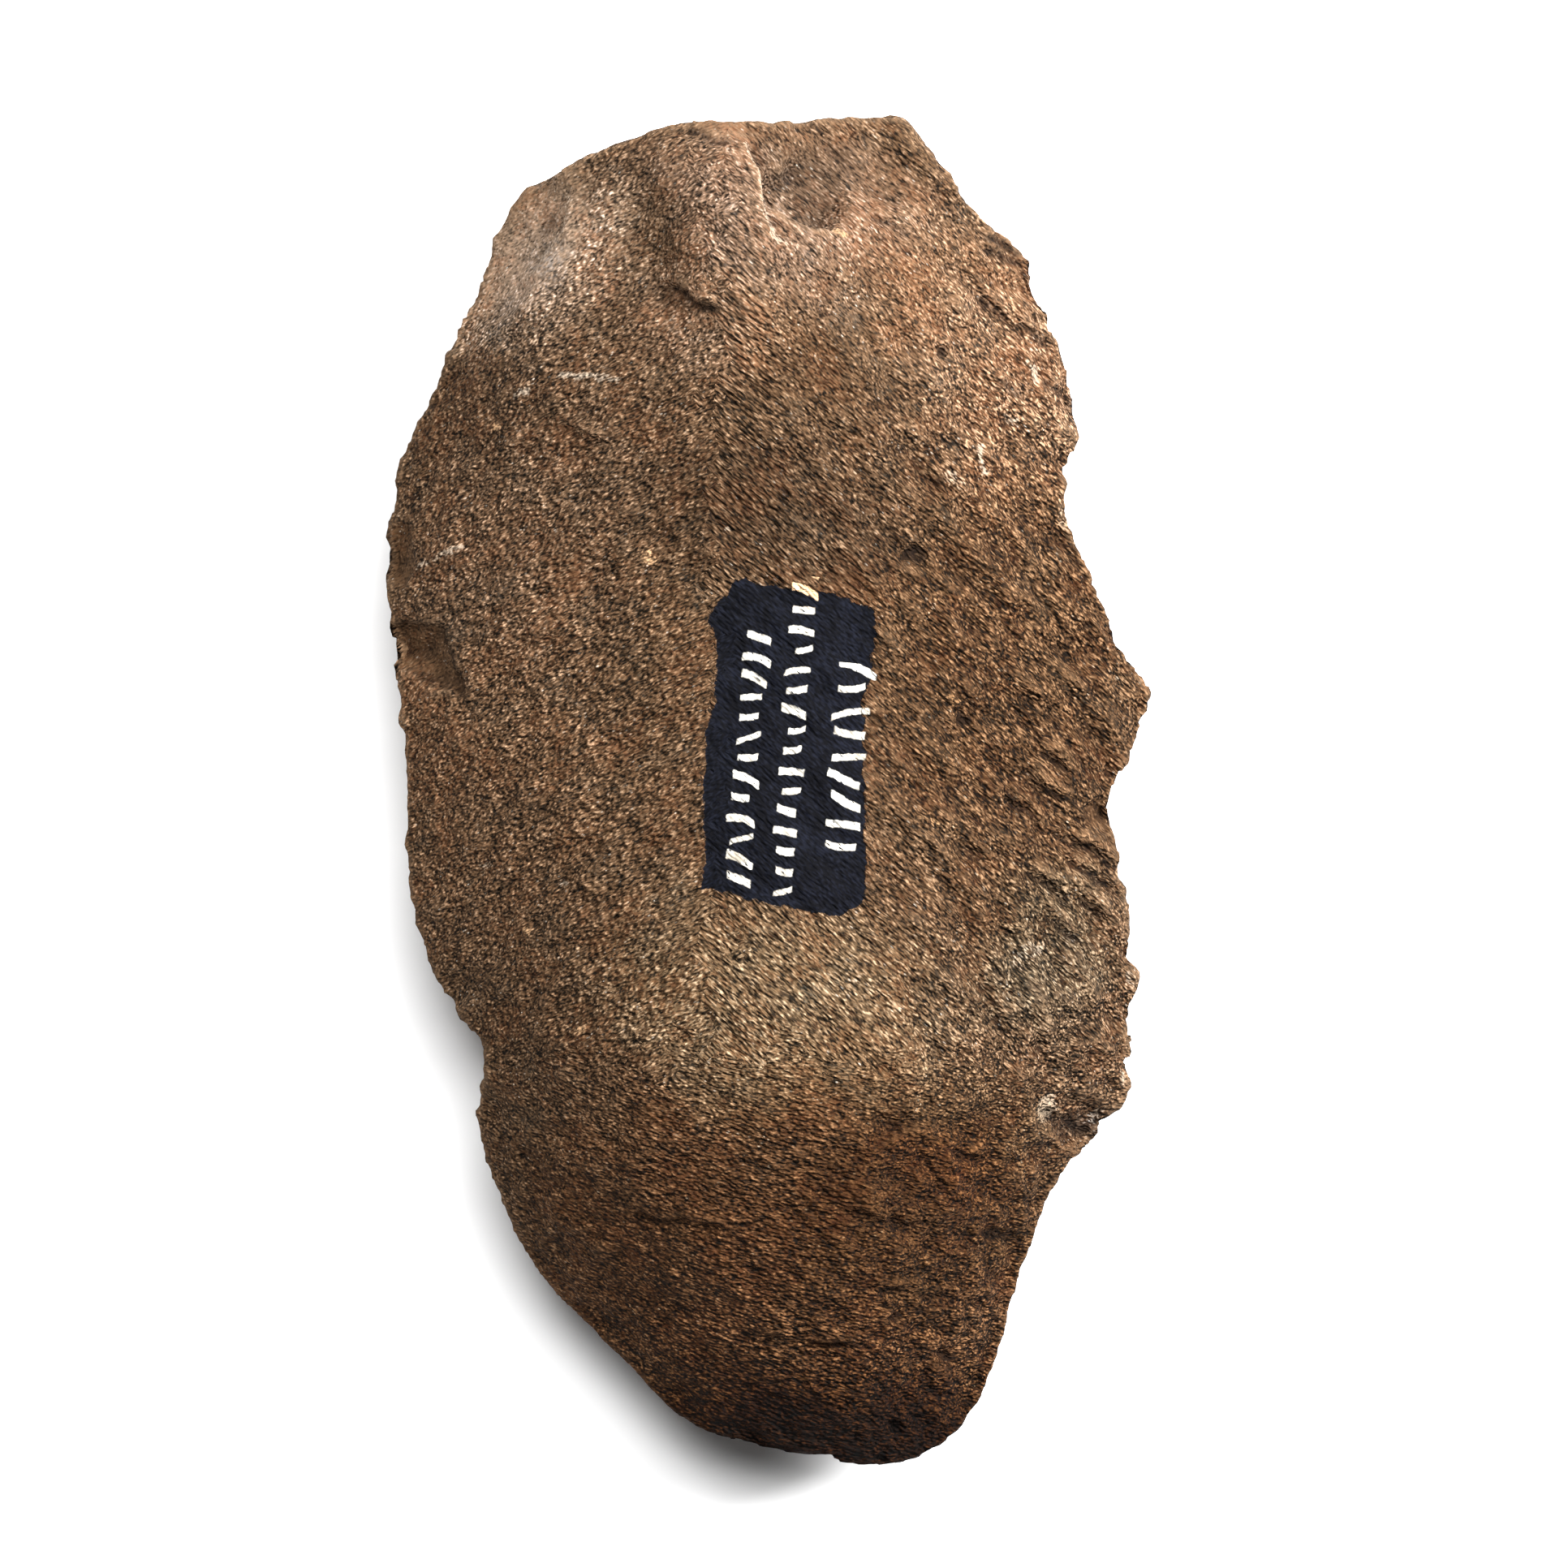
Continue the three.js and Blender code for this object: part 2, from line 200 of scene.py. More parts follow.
# Places that are only smoother, or only worn paler, than the rest, with how much as their height.
SMOOTH_PLACES = [
    Spot((-26, 60), 12, 7, 55, 0.8),
    Spot((-5, 70.6), 4.5, 1.8, -8, 0.9),
    Spot((9, 66), 12, 5, -20, 0.5),
    Spot((2, 58), 38, 18, -8, 0.25),
]
WORN_PLACES = [
    Spot((32.2, 29.2), 5, 1.4, 110, 0.8),
    Spot((19.5, 33.7), 2.4, 1.8, -45, 0.7),
    Spot((27.6, -17), 2.6, 1.8, 40, 0.7),
    Spot((29.8, -33.4), 2.4, 1.6, 60, 1.0),
    Spot((35.6, -34.6), 1.8, 1.2, 40, 0.7),
    Spot((-22, -9.5), 0.8, 0.7, 0, 0.9),
    Spot((-30.3, -7.6), 1.2, 0.8, 20, 0.7),
    Spot((-4.4, 28.2), 1.0, 0.7, 30, 0.9),
    Spot((38.9, -20), 1.6, 0.9, 95, 0.75),
    Spot((38.9, -23), 1.4, 0.9, 85, 0.75),
    Spot((38, -30.6), 1.5, 0.9, 75, 0.75),
    Spot((33.4, 27.5), 5.5, 1.0, 116, 1.1),
]
# Pits, like the feet of scarps and the borders of flakes, carry painted shade in the dark mark.
PIT_DARK = 0.8
PIT_CORE = 0.2
CHIP_CORE = 0.1
SMOOTH_CORE = 0.3
SCRATCHES = [
    [(-23, 45.1), (-15.6, 44)],
    [(-38.3, 24.1), (-32.2, 27.3)],
    [(-28, 42.3), (-25.3, 43.3)],
    [(27.6, 46.7), (28.9, 43.6)],
    [(25.2, 40.5), (26.7, 40.1)],
    [(22.3, 37.9), (23.2, 34)],
]
SCRATCH_PALE = 1.1
SCRATCH_REACH = 0.65
SCRATCH_START = (0, 0.1)
SCRATCH_END = (0.9, 1)

# The marks are only on faces that look up, and cloudy shifts keep their lines and borders from being even.
MARKED_TILT = (0.1, 0.4)
Drift = namedtuple("Drift", "size seeds reach")
LINE_DRIFT = Drift(2.2, (11, 23), 0.6)
BROAD_TONE_DRIFT = Drift(9, (31, 47), 4.0)
SUNK_STEPS = 6

# Broad patches of tone. Some are the stone's own colour. The lit grey corner, pale butt, pale right shoulder
# and pale tongue are partly painted light. The shaded flank and scar, dark hollow, rusty shaded lower half
# and dark tip are partly painted shade. Each has the middle, the half sizes, the turn, and the stops by
# which red, green and blue change.
Patch = namedtuple("Patch", "at along across turn stops")
BROAD_TONES = {
    "lit grey corner": Patch((-25, 58.5), 16, 10, 55, (1.8, 2.15, 2.65)),
    "pale butt": Patch((0, 62.5), 20, 12, -12, (0.95, 1.1, 1.45)),
    "pale right shoulder": Patch((24, 46), 22, 13, -60, (0.85, 0.85, 0.95)),
    "pale left half": Patch((-22, 36), 30, 18, 70, (0.2, 0.25, 0.35)),
    "left flake": Patch((-36, 14.8), 4.6, 4.6, 0, (-0.15, -0.15, -0.15)),
    "worn platform": Patch((-5.2, 70.6), 5, 1.8, -8, (0.5, 0.55, 0.65)),
    "shaded flank": Patch((-14.5, 60), 10, 6, 115, (-0.2, -0.2, -0.22)),
    "shaded scar": Patch((4, 66), 7, 4, -38, (-0.9, -0.9, -0.95)),
    "pale tongue": Patch((-8, 51.5), 13, 8, -25, (1.0, 1.1, 1.3)),
    "dark waist": Patch((2, 29), 18, 10, -10, (-0.5, -0.5, -0.5)),
    "olive swell": Patch((1, -22), 26, 15, -12, (0.65, 0.85, 0.95)),
    "olive edge": Patch((30, -17), 12, 10, 60, (0.05, 0.3, 0.45)),
    "pale left side": Patch((-34, 6), 34, 20, 90, (0.42, 0.42, 0.46)),
    "brown right side": Patch((26, 12), 32, 20, 90, (-0.38, -0.56, -0.8)),
    "brown lower right": Patch((17, -44), 20, 15, 30, (-0.55, -0.6, -0.8)),
    "dark hollow": Patch((34, -36), 5, 2.6, -30, (-1.0, -0.9, -0.7)),
    "rusty band": Patch((18, -40), 11, 6, -15, (0.1, -0.1, -0.3)),
    "rusty shaded lower half": Patch((4, -54), 42, 30, 0, (-0.58, -0.95, -1.38)),
    "dark tip": Patch((6, -81), 38, 24, 0, (-3.3, -4.1, -5.4)),
}

# The material's clouds and streaks: the size of their features, the finer detail in them, and a seed.
Cloud = namedtuple("Cloud", "size detail roughness seed")
GRAIN = Cloud(0.5, 3, 0.7, 0)
FINE_GRAIN = Cloud(0.2, 0, 0.5, 5)
MOTTLE = Cloud(2.6, 4, 0.65, 2)
RUST = Cloud(6, 4, 0.65, 6)
FIBRE = Cloud(0.55, 1, 0.5, 1)
CREVICE = Cloud(0.6, 1, 0.5, 3)
COARSE_GRIT = Cloud(1.5, 0, 0.5, 9)
MIDDLE_GRIT = Cloud(0.66, 0, 0.5, 11)
SMALL_GRIT = Cloud(0.3, 0, 0.5, 13)
UNEVEN_GRIT = Cloud(4, 3, 0.6, 15)
GRAIN_BORDER = Cloud(4, 3, 0.7, 4)
LABEL_BORDER = Cloud(1.6, 4, 0.65, 8)
STROKE_WOBBLE = Cloud(0.9, 2, 0.6, 0)
FIBRE_WIDTH = 0.18
CREVICE_WIDTH = 0.16

# Crystals and lumps of grit to a millimetre, how far the grit's borders bend, and how high each size of it
# stands. The bump's depth is that of a height of 1.
CRYSTALS = 5.2
GRIT_LUMPS = 2.6
GRIT_BEND = 0.25
GRIT_HEIGHT = {
    "coarse": 0.1,
    "coarse on the right": 0.18,
    "coarse low down": 0.14,
    "middle": 0.24,
    "small": 0.3,
    "lumps": 0.34,
}
COARSE_RIGHT = (-10, 25)
COARSE_LOW = (-58, -34)
BUMP_DEPTH = 1.2

# How much each part of the grain lightens the stone, and where the contrast grows.
TONE = {
    "grain": 0.8,
    "fine": 1.15,
    "mottle": 0.25,
    "fibre": 0.15,
    "crevice": -0.25,
    "lumps": 0.2,
    # The grit's lows darker and its highs lighter: painted shade and painted light on the bump's relief.
    "height": 0.8,
    "facet": 0.85,
    "crystal border": -0.2,
}
MEAN_HEIGHT = 0.15
MEAN_DISTANCE = 0.4
LIVELY_RIGHT = (8, 28)
LIVELY_TIP = (-62, -46)
LIVELY_GAIN = 0.35

# Coats of colour, each as a display colour from 0 to 255 that comes in between two values of a mask.
Coat = namedtuple("Coat", "start full strength color")
DEEP_BROWN = (13, 8, 4)
BROWN_GRAIN = Coat(-0.75, 0.2, 1, (73, 53, 35))
LIGHT_GRAIN = Coat(0.1, 1.3, 1, (146, 118, 92))
RUSTY_COAT = Coat(0.2, 0.7, 0.3, (94, 57, 32))
GREY_COAT = Coat(0.35, 0.8, 0.35, (84, 72, 58))
PALE_SPECK = (214, 202, 186)
SPECK_STRENGTH = 0.6
DARK_FLECK = (16, 10, 6)
FLECK_STRENGTH = 0.8
WORN_COAT = Coat(0.45, 0.95, 0.65, (176, 158, 138))
FRESH_CHIP = Coat(0.6, 1.2, 0.6, (184, 146, 108))
# Painted shade at the feet of scarps, in cracks and pits, and along flake borders.
SHADED_FOOT = Coat(0.2, 0.8, 0.7, (20, 13, 9))
# Painted shade where the mesh lies below its neighbours.
SHADED_HOLLOW = Coat(0.03, 0.4, 0.5, (24, 15, 10))
RUBBED_HIGH_SPOT = Coat(0.03, 0.4, 0.25, (140, 112, 86))
LABEL_BLACK = (3, 3, 6)
WORN_BLACK = Coat(-0.4, 0.8, 1, (15, 17, 26))
WHITE_PAINT = (204, 201, 192)
GRIMY_PAINT = Coat(-0.3, 0.5, 1, (150, 141, 126))
YELLOWED_PAINT = Coat(14.5, 16.5, 0.8, (206, 160, 112))

STONE_ROUGHNESS = 0.86
SPECK_SHEEN = 0.3
STONE_SPECULAR = 0.08

# The painted patch of an old label: its outline, and its rows of strokes in the patch's own leaning frame.
LABEL_OUTLINE = [
    (-4, 22.6), (-6.6, 18.6), (-5.7, 16.5), (-5.8, 9.2), (-6.9, 6.6),
    (-7.1, -9.8), (-0.3, -11.6), (7.2, -12.8), (10.1, -11.5), (9.9, 10.3),
    (11, 14.5), (11.3, 20), (6.1, 21.5), (-1.1, 22.4), (-2.6, 23.2),
]
LABEL_MIDDLE = (2.0, 5.0)
LABEL_LEAN = 5.0
LABEL_RAGGED = 1.0
LABEL_EDGE = (-0.08, 0.08)
OFF_LABEL = -20
NEAR_LABEL = (-8, -6)
Row = namedtuple("Row", "across start end height pitch")
LABEL_ROWS = [
    Row(-4.4, -15.4, 12.6, 3.1, 2.15),
    Row(0.45, -16.4, 18.4, 3.1, 2.15),
    Row(6.3, -11.2, 9.6, 4.6, 2.4),
]
STROKE_HALF_WIDTH = 0.36
STROKE_TILT = 0.9
STROKE_SHIFT = 0.6
STROKE_BEND = 0.35
STROKE_WOBBLE_REACH = 0.25
STROKE_EDGE = (-0.08, 0.08)
STROKE_END = (-0.1, 0.1)
STROKE_WORN = (0.35, 0.6)

# The camera looks straight down, far off, with the frame centred beside the stone's middle.
VIEW_MIDDLE = (1.48, 1.18)
VIEW_WIDTH = 168.66
EDGE_HEIGHT = 16
CAMERA_DISTANCE = 1200
CAMERA_CLIP = 10
SENSOR_WIDTH = 36

# The lamps' and the floor's sizes are in metres.
LAMP_DISTANCE = 1.1
LAMP_SIZE = 0.5
SURROUND_STRENGTH = 0.1
FLOOR_SIDE = 4.0
FLOOR_DROP = 0.0001
FLOOR_WHITE = 0.9
FLOOR_ROUGHNESS = 0.9

Place = namedtuple("Place", "x y z vector")
Grit = namedtuple("Grit", "grain fine mottle rust fibre crevice facet rarity tint near lump height")


def shade(color):
    """A display colour, 0 to 255, as the linear colour that shaders take."""
    levels = [level / 255 for level in color]
    linear = [v / 12.92 if v <= 0.04045 else ((v + 0.055) / 1.055) ** 2.4 for v in levels]
    return (*linear, 1)


def find(sockets, name):
    """The socket of that name or number that is in use, or the first one in use."""
    if isinstance(name, int):
        return sockets[name]
    return next(s for s in sockets if s.enabled and name in (None, s.name))


class Value:
    """A node's output. Sums written with it add Math nodes to its tree."""

    def __init__(self, tree, socket):
        self.tree = tree
        self.socket = socket

    def math(self, operation, *others):
        return self.tree.math(operation, self, *others)

    def __add__(self, other):
        return self.math("ADD", other)

    def __sub__(self, other):
        return self.math("SUBTRACT", other)

    def __rsub__(self, other):
        return self.tree.math("SUBTRACT", other, self)

    def __mul__(self, other):
        return self.math("MULTIPLY", other)

    def __truediv__(self, other):
        return self.math("DIVIDE", other)

    def __rtruediv__(self, other):
        return self.tree.math("DIVIDE", other, self)

    def __neg__(self):
        return self * -1

    def __abs__(self):
        return self.math("ABSOLUTE")

    __radd__ = __add__
    __rmul__ = __mul__

    def rise(self, low, high):
        """0 below low, 1 above high, and smooth between them."""
        span = {"Value": self, "From Min": low, "From Max": high}
        return self.tree.value("ShaderNodeMapRange", {"interpolation_type": "SMOOTHSTEP"}, span)

    def fall(self, low, high):
        return 1 - self.rise(low, high)


class Tree:
    """A node tree that is being built: a material's or a geometry's."""

    def __init__(self, tree):
        self.tree = tree

    def node(self, kind, settings=None, sockets=None):
        """A new node: its settings first, then a value or a link for each named or numbered socket."""
        made = self.tree.nodes.new(kind)
        for name, setting in (settings or {}).items():
            setattr(made, name, setting)
        for name, given in (sockets or {}).items():
            socket = find(made.inputs, name)
            if isinstance(given, Value):
                self.tree.links.new(given.socket, socket)
            else:
                socket.default_value = given
        return made

    def pick(self, node, output=None):
        return Value(self, find(node.outputs, output))

    def value(self, kind, settings=None, sockets=None, output=None):
        return self.pick(self.node(kind, settings, sockets), output)

    def math(self, operation, *given):
        return self.value("ShaderNodeMath", {"operation": operation}, dict(enumerate(given)))

    def vector(self, operation, *given):
        return self.value("ShaderNodeVectorMath", {"operation": operation}, dict(enumerate(given)))

    def scaled(self, vector, scale):
        sockets = {"Vector": vector, "Scale": scale}
        return self.value("ShaderNodeVectorMath", {"operation": "SCALE"}, sockets)

    def parts(self, vector):
        node = self.node("ShaderNodeSeparateXYZ", None, {"Vector": vector})
        return [self.pick(node, axis) for axis in "XYZ"]

    def join(self, x, y, z):
        return self.value("ShaderNodeCombineXYZ", None, {"X": x, "Y": y, "Z": z})

    def mix(self, factor, first, second, kind="RGBA"):
        sockets = {"Factor": factor, "A": first, "B": second}
        return self.value("ShaderNodeMix", {"data_type": kind}, sockets)

    def cells(self, vector, scale):
        """Each cell's three random numbers, and the distance to its middle."""
        node = self.node("ShaderNodeTexVoronoi", None, {"Vector": vector, "Scale": scale})
        return self.parts(self.pick(node, "Color")), self.pick(node, "Distance")

    def noise(self, vector, size, detail, roughness, seed):
        """Cloudy variation about 0 with features of one size."""
        sockets = {"Vector": vector, "W": seed, "Scale": 1 / size, "Detail": detail, "Roughness": roughness}
        return self.value("ShaderNodeTexNoise", {"noise_dimensions": "4D"}, sockets) * 2 - 1


def place_of(tree, position):
    """A position in metres as a place in millimetres."""
    vector = tree.scaled(position, 1 / MM)
    return Place(*tree.parts(vector), vector)


def streak_place(tree, place, grain):
    """The place in coordinates along and across the streaks of a grain."""
    angle = math.radians(grain.fall)
    along = place.x * math.cos(angle) - place.y * math.sin(angle)
    across = place.x * math.sin(angle) + place.y * math.cos(angle)
    return tree.join(along / grain.stretch, across, place.z)


def streaks(tree, place, size, detail, roughness, seed):
    """Variation about 0 in short streaks that fall away from the spine to either side."""
    left, right = [
        tree.noise(streak_place(tree, place, grain), size, detail, roughness, seed)
        for grain in (LEFT_GRAIN, RIGHT_GRAIN)
    ]
    side = (place.x - SPINE_X).rise(-SPINE_BLEND, SPINE_BLEND)
    return left + side * (right - left)


def grain_place(tree, place):
    """The place in the nearest streaks' coordinates: left, right or low, with ragged borders between."""
    ragged = tree.noise(place.vector, *GRAIN_BORDER) * GRAIN_BORDER_REACH
    left, right, low = [streak_place(tree, place, grain) for grain in (LEFT_GRAIN, RIGHT_GRAIN, LOW_GRAIN)]
    on_right = (place.x - SPINE_X + ragged).math("GREATER_THAN", 0.0)
    is_low = (place.y - LOW_START + ragged).math("LESS_THAN", 0.0)
    upper = tree.mix(on_right, left, right, "VECTOR")
    return tree.mix(is_low, upper, low, "VECTOR")


def relief_inputs(group):
    """The tree's geometry and named sizes. Returns each size's identifier by its name."""
    group.interface.new_socket("Geometry", in_out="INPUT", socket_type="NodeSocketGeometry")
    group.interface.new_socket("Geometry", in_out="OUTPUT", socket_type="NodeSocketGeometry")
    identifiers = {}
    for name, size in RELIEF.items():
        kind = "NodeSocketInt" if isinstance(size, int) else "NodeSocketFloat"
        identifiers[name] = group.interface.new_socket(name, in_out="INPUT", socket_type=kind).identifier
    return identifiers


def relief_height(tree, sizes, place, normal_up):
    """How far each point of the stone moves out along its normal, in millimetres."""
    seed = sizes["Seed"]
    on_right = place.x.rise(*RIGHT_RELIEF)
    swells = tree.noise(place.vector, sizes["Swell size"], 1, 0.5, seed)
    height = sizes["Swell height"] * swells
    lumps = streaks(tree, place, sizes["Lump size"], 1, 0.5, seed + 1)
    height = height + sizes["Lump height"] * (on_right * LUMP_GAIN + 1.0) * lumps
    ledges = abs(streaks(tree, place, sizes["Ledge size"], 2, 0.6, seed + 4))
    height = height - sizes["Ledge height"] * place.x.rise(*RIGHT_LEDGES) * ledges
    hackles = streaks(tree, place, sizes["Hackle size"], 1, 0.5, seed + 2)
    height = height + sizes["Hackle height"] * (on_right * HACKLE_GAIN + 1.0) * hackles
    chips = tree.noise(place.vector, sizes["Rim chip size"], 2, 0.6, seed + 3) * sizes["Rim chip height"]
    rim = abs(normal_up).fall(*RIM_TILT)
    calm = 1 - rim * place.y.fall(*CALM_TIP) * CALM_TIP_SHARE
    return height * calm + rim * (chips * calm + sizes["Rim growth"])


def relief_nodes(material):
    """The nodes that smooth the worked stone and raise the relief that covers all of it."""
    group = bpy.data.node_groups.new("stone_relief", "GeometryNodeTree")
    identifiers = relief_inputs(group)
    tree = Tree(group)
    given = tree.node("NodeGroupInput")
    sizes = {name: tree.pick(given, name) for name in RELIEF}
    position = tree.value("GeometryNodeInputPosition")
    normal = tree.value("GeometryNodeInputNormal")
    normal_up = tree.parts(normal)[2]
    place = place_of(tree, position)
    free = place.z.rise(*FLOOR_CONTACT)
    weight = abs(normal_up).rise(*SMOOTHED_TILT) * (1 - RIM_SMOOTHING) + RIM_SMOOTHING
    weight = weight.math("MAXIMUM", place.y.fall(*SMOOTHED_TIP) * SMOOTHED_TIP_SHARE)
    smoothing = {"Value": position, "Iterations": sizes["Smoothing"], "Weight": weight * free}
    smooth = tree.value("GeometryNodeBlurAttribute", {"data_type": "FLOAT_VECTOR"}, smoothing)
    sockets = {"Geometry": tree.pick(given, "Geometry"), "Position": smooth}
    geometry = tree.value("GeometryNodeSetPosition", None, sockets)
    height = relief_height(tree, sizes, place, normal_up) * free * MM
    offset = tree.scaled(normal, height)
    geometry = tree.value("GeometryNodeSetPosition", None, {"Geometry": geometry, "Offset": offset})
    x, y, z = tree.parts(position)
    above = tree.join(x, y, z.math("MAXIMUM", 0.0))
    geometry = tree.value("GeometryNodeSetPosition", None, {"Geometry": geometry, "Position": above})
    geometry = tree.value("GeometryNodeSetShadeSmooth", None, {"Geometry": geometry})
    geometry = tree.value("GeometryNodeRealizeInstances", None, {"Geometry": geometry})
    geometry = tree.value("GeometryNodeSetMaterial", None, {"Geometry": geometry, "Material": material})
    tree.node("NodeGroupOutput", None, {"Geometry": geometry})
    return group, identifiers


def rise(values, low, high):
    """0 below low, 1 above high, and smooth between them, for each of many numbers."""
    share = np.clip((values - low) / (high - low), 0, 1)
    return share * share * (3 - 2 * share)


def fall(values, low, high):
    return 1 - rise(values, low, high)


def cloud(points, size, seed):
    """Cloudy variation about 0 with features of one size, for each point."""
    return np.array([noise.noise(place) for place in (points / size + seed)])


def drifted(points, kind):
    """A cloudy shift of each point in x and y."""
    return np.stack([cloud(points, kind.size, seed) for seed in kind.seeds], axis=1) * kind.reach


def read_vectors(items, name):
    flat = np.empty(len(items) * 3)
    items.foreach_get(name, flat)
    return flat.reshape(-1, 3)


def beside(flat, places):
    """How far each point is from a path, with a plus on its left, and its share of the way along."""
    distance = np.full(len(flat), np.inf)
    side = np.zeros(len(flat))
    share = np.zeros(len(flat))
    whole = sum(math.dist(start, end) for start, end in zip(places, places[1:]))
    done = 0
    for start, end in zip(places, places[1:]):
        length = math.dist(start, end)
        run = np.subtract(end, start) / length
        away = flat - start
        along = np.clip(away @ run, 0, length)
        off = away - along[:, None] * run
        gap = np.hypot(off[:, 0], off[:, 1])
        nearer = gap < distance
        distance[nearer] = gap[nearer]
        side[nearer] = np.sign(run[0] * off[:, 1] - run[1] * off[:, 0])[nearer]
        share[nearer] = ((done + along) / whole)[nearer]
        done += length
    return distance * side, share


def within(flat, outline):
    """How far each point is inside a closed outline, less than 0 outside it."""
    closed = outline + outline[:1]
    gap, _ = beside(flat, closed)
    x, y = flat.T
    inside = np.zeros(len(flat), dtype=bool)
    for (start_x, start_y), (end_x, end_y) in zip(closed, closed[1:]):
        if start_y == end_y:
            continue
        level = (start_y > y) != (end_y > y)
        crossing = start_x + (y - start_y) * (end_x - start_x) / (end_y - start_y)
        inside ^= level & (x < crossing)
    return np.where(inside, abs(gap), -abs(gap))


def in_spot(flat, spot, core=0.0):
    """1 in a spot's core, falling to 0 at its border, for each point."""
    turn = math.radians(spot.turn)
    x, y = (flat - spot.at).T
    along = (x * math.cos(turn) + y * math.sin(turn)) / spot.along
    across = (y * math.cos(turn) - x * math.sin(turn)) / spot.across
    return fall(along**2 + across**2, core, 1)


def lift(marks, name, values):
    """Lifts a mark to the given values wherever it is less."""
    marks[name] = np.maximum(marks[name], values)


def add_scarps(marks, flat):
    for scarp in ALL_SCARPS:
        gap, share = beside(flat, scarp.places)
        ends = rise(share, *SCARP_START) * fall(share, *SCARP_END)
        left = scarp.left * np.clip(1 - gap / scarp.left_reach, 0, 1) ** 2
        right = scarp.right * np.clip(1 + gap / scarp.right_reach, 0, 1) ** 2
        marks["height"] += ends * (right + (left - right) * rise(gap, -LIP_HALF_WIDTH, LIP_HALF_WIDTH))
        lift(marks, "pale", scarp.pale * ends * fall(abs(gap), 0, LIP_REACH))
        lift(marks, "dark", scarp.dark * ends * fall(abs(gap + FOOT_OFFSET), 0, LIP_REACH))


def add_spots(marks, flat):
    for spot in FORMS + PITS + CHIPS:
        marks["height"] += spot.height * in_spot(flat, spot)
    for spot in PITS:
        lift(marks, "dark", PIT_DARK * in_spot(flat, spot, PIT_CORE))
    for spot in CHIPS:
        lift(marks, "chip", in_spot(flat, spot, CHIP_CORE))
    for spot in SMOOTH_PLACES:
        lift(marks, "smooth", spot.height * in_spot(flat, spot, SMOOTH_CORE))
    for spot in WORN_PLACES:
        lift(marks, "pale", spot.height * in_spot(flat, spot))


def add_scratches(marks, flat):
    for line in SCRATCHES:
        gap, share = beside(flat, line)
        ends = rise(share, *SCRATCH_START) * fall(share, *SCRATCH_END)
        lift(marks, "pale", SCRATCH_PALE * fall(abs(gap), 0, SCRATCH_REACH) * ends)


def add_flakes(marks, flat):
    for flake in EDGE_FLAKES:
        inside = within(flat, flake.outline)
        floor = flake.slope * np.clip(inside, 0, FLAKE_REACH)
        marks["height"] -= flake.step * rise(inside, 0, FLAKE_STEP_WIDTH) + floor
        lift(marks, "smooth", FLAKE_SMOOTH * rise(inside, 0, FLAKE_SMOOTH_WIDTH))
        border = fall(abs(inside - FLAKE_BORDER_OFFSET), 0, FLAKE_BORDER_REACH)
        lift(marks, "dark", flake.dark * border)


def broad_tone_stops(points, flat):
    """The stops by which the broad tones, painted light and painted shade change red, green and blue at each
    point.
    """
    ragged = flat + drifted(points, BROAD_TONE_DRIFT)
    stops = np.zeros((len(points), 3))
    for patch in BROAD_TONES.values():
        stops += in_spot(ragged, patch)[:, None] * patch.stops
    return stops


def keep(mesh, name, values):
    """Keeps a number for each point of the mesh, for its material."""
    kept = mesh.attributes.new(name, "FLOAT", "POINT")
    kept.data.foreach_set("value", values.astype(np.float32))


def keep_gain(mesh, name, stops):
    """Keeps the gain of red, green and blue at each point of the mesh, from their change in stops."""
    kept = mesh.attributes.new(name, "FLOAT_VECTOR", "POINT")
    kept.data.foreach_set("vector", (2**stops).astype(np.float32).ravel())


def mark_stone(mesh):
    """Adds the bulb face's own marks to the mesh, and keeps what the material needs to know of them."""
    points = read_vectors(mesh.vertices, "co") / MM
    normals = read_vectors(mesh.vertex_normals, "vector")
    face = rise(normals[:, 2], *MARKED_TILT)
    flat = points[:, :2] + drifted(points, LINE_DRIFT)
    marks = {name: np.zeros(len(points)) for name in ("height", "pale", "dark", "chip", "smooth")}
    add_scarps(marks, flat)
    add_spots(marks, flat)
    add_scratches(marks, flat)
    add_flakes(marks, flat)
    stops = broad_tone_stops(points, flat)
    in_label = within(points[:, :2], LABEL_OUTLINE)
    points += normals * (marks.pop("height") * face)[:, None]
    mesh.vertices.foreach_set("co", (points * MM).ravel())
    keep_gain(mesh, "paler_tone_and_painted_light", np.maximum(stops, 0))
    keep_gain(mesh, "darker_tone_and_painted_shade", np.minimum(stops, 0))
    for name, values in marks.items():
        keep(mesh, name, values * face)
    keep(mesh, "label", np.where(face > 0.5, in_label, OFF_LABEL))
    keep(mesh, "sunk", sunk_depth(mesh))
    mesh.update()


def sunk_depth(mesh):
    """How far each point lies below its neighbours' mean level, in millimetres."""
    points = read_vectors(mesh.vertices, "co") / MM
    normals = read_vectors(mesh.vertex_normals, "vector")
    ends = np.empty(len(mesh.edges) * 2, dtype=int)
    mesh.edges.foreach_get("vertices", ends)
    first, second = ends.reshape(-1, 2).T
    here = np.concatenate([first, second])
    there = np.concatenate([second, first])
    count = np.bincount(here, minlength=len(points))
    level = points
    for _ in range(SUNK_STEPS):
        sums = [np.bincount(here, level[there, axis], len(points)) for axis in range(3)]
        level = np.stack(sums, axis=1) / count[:, None]
    return ((level - points) * normals).sum(axis=1)


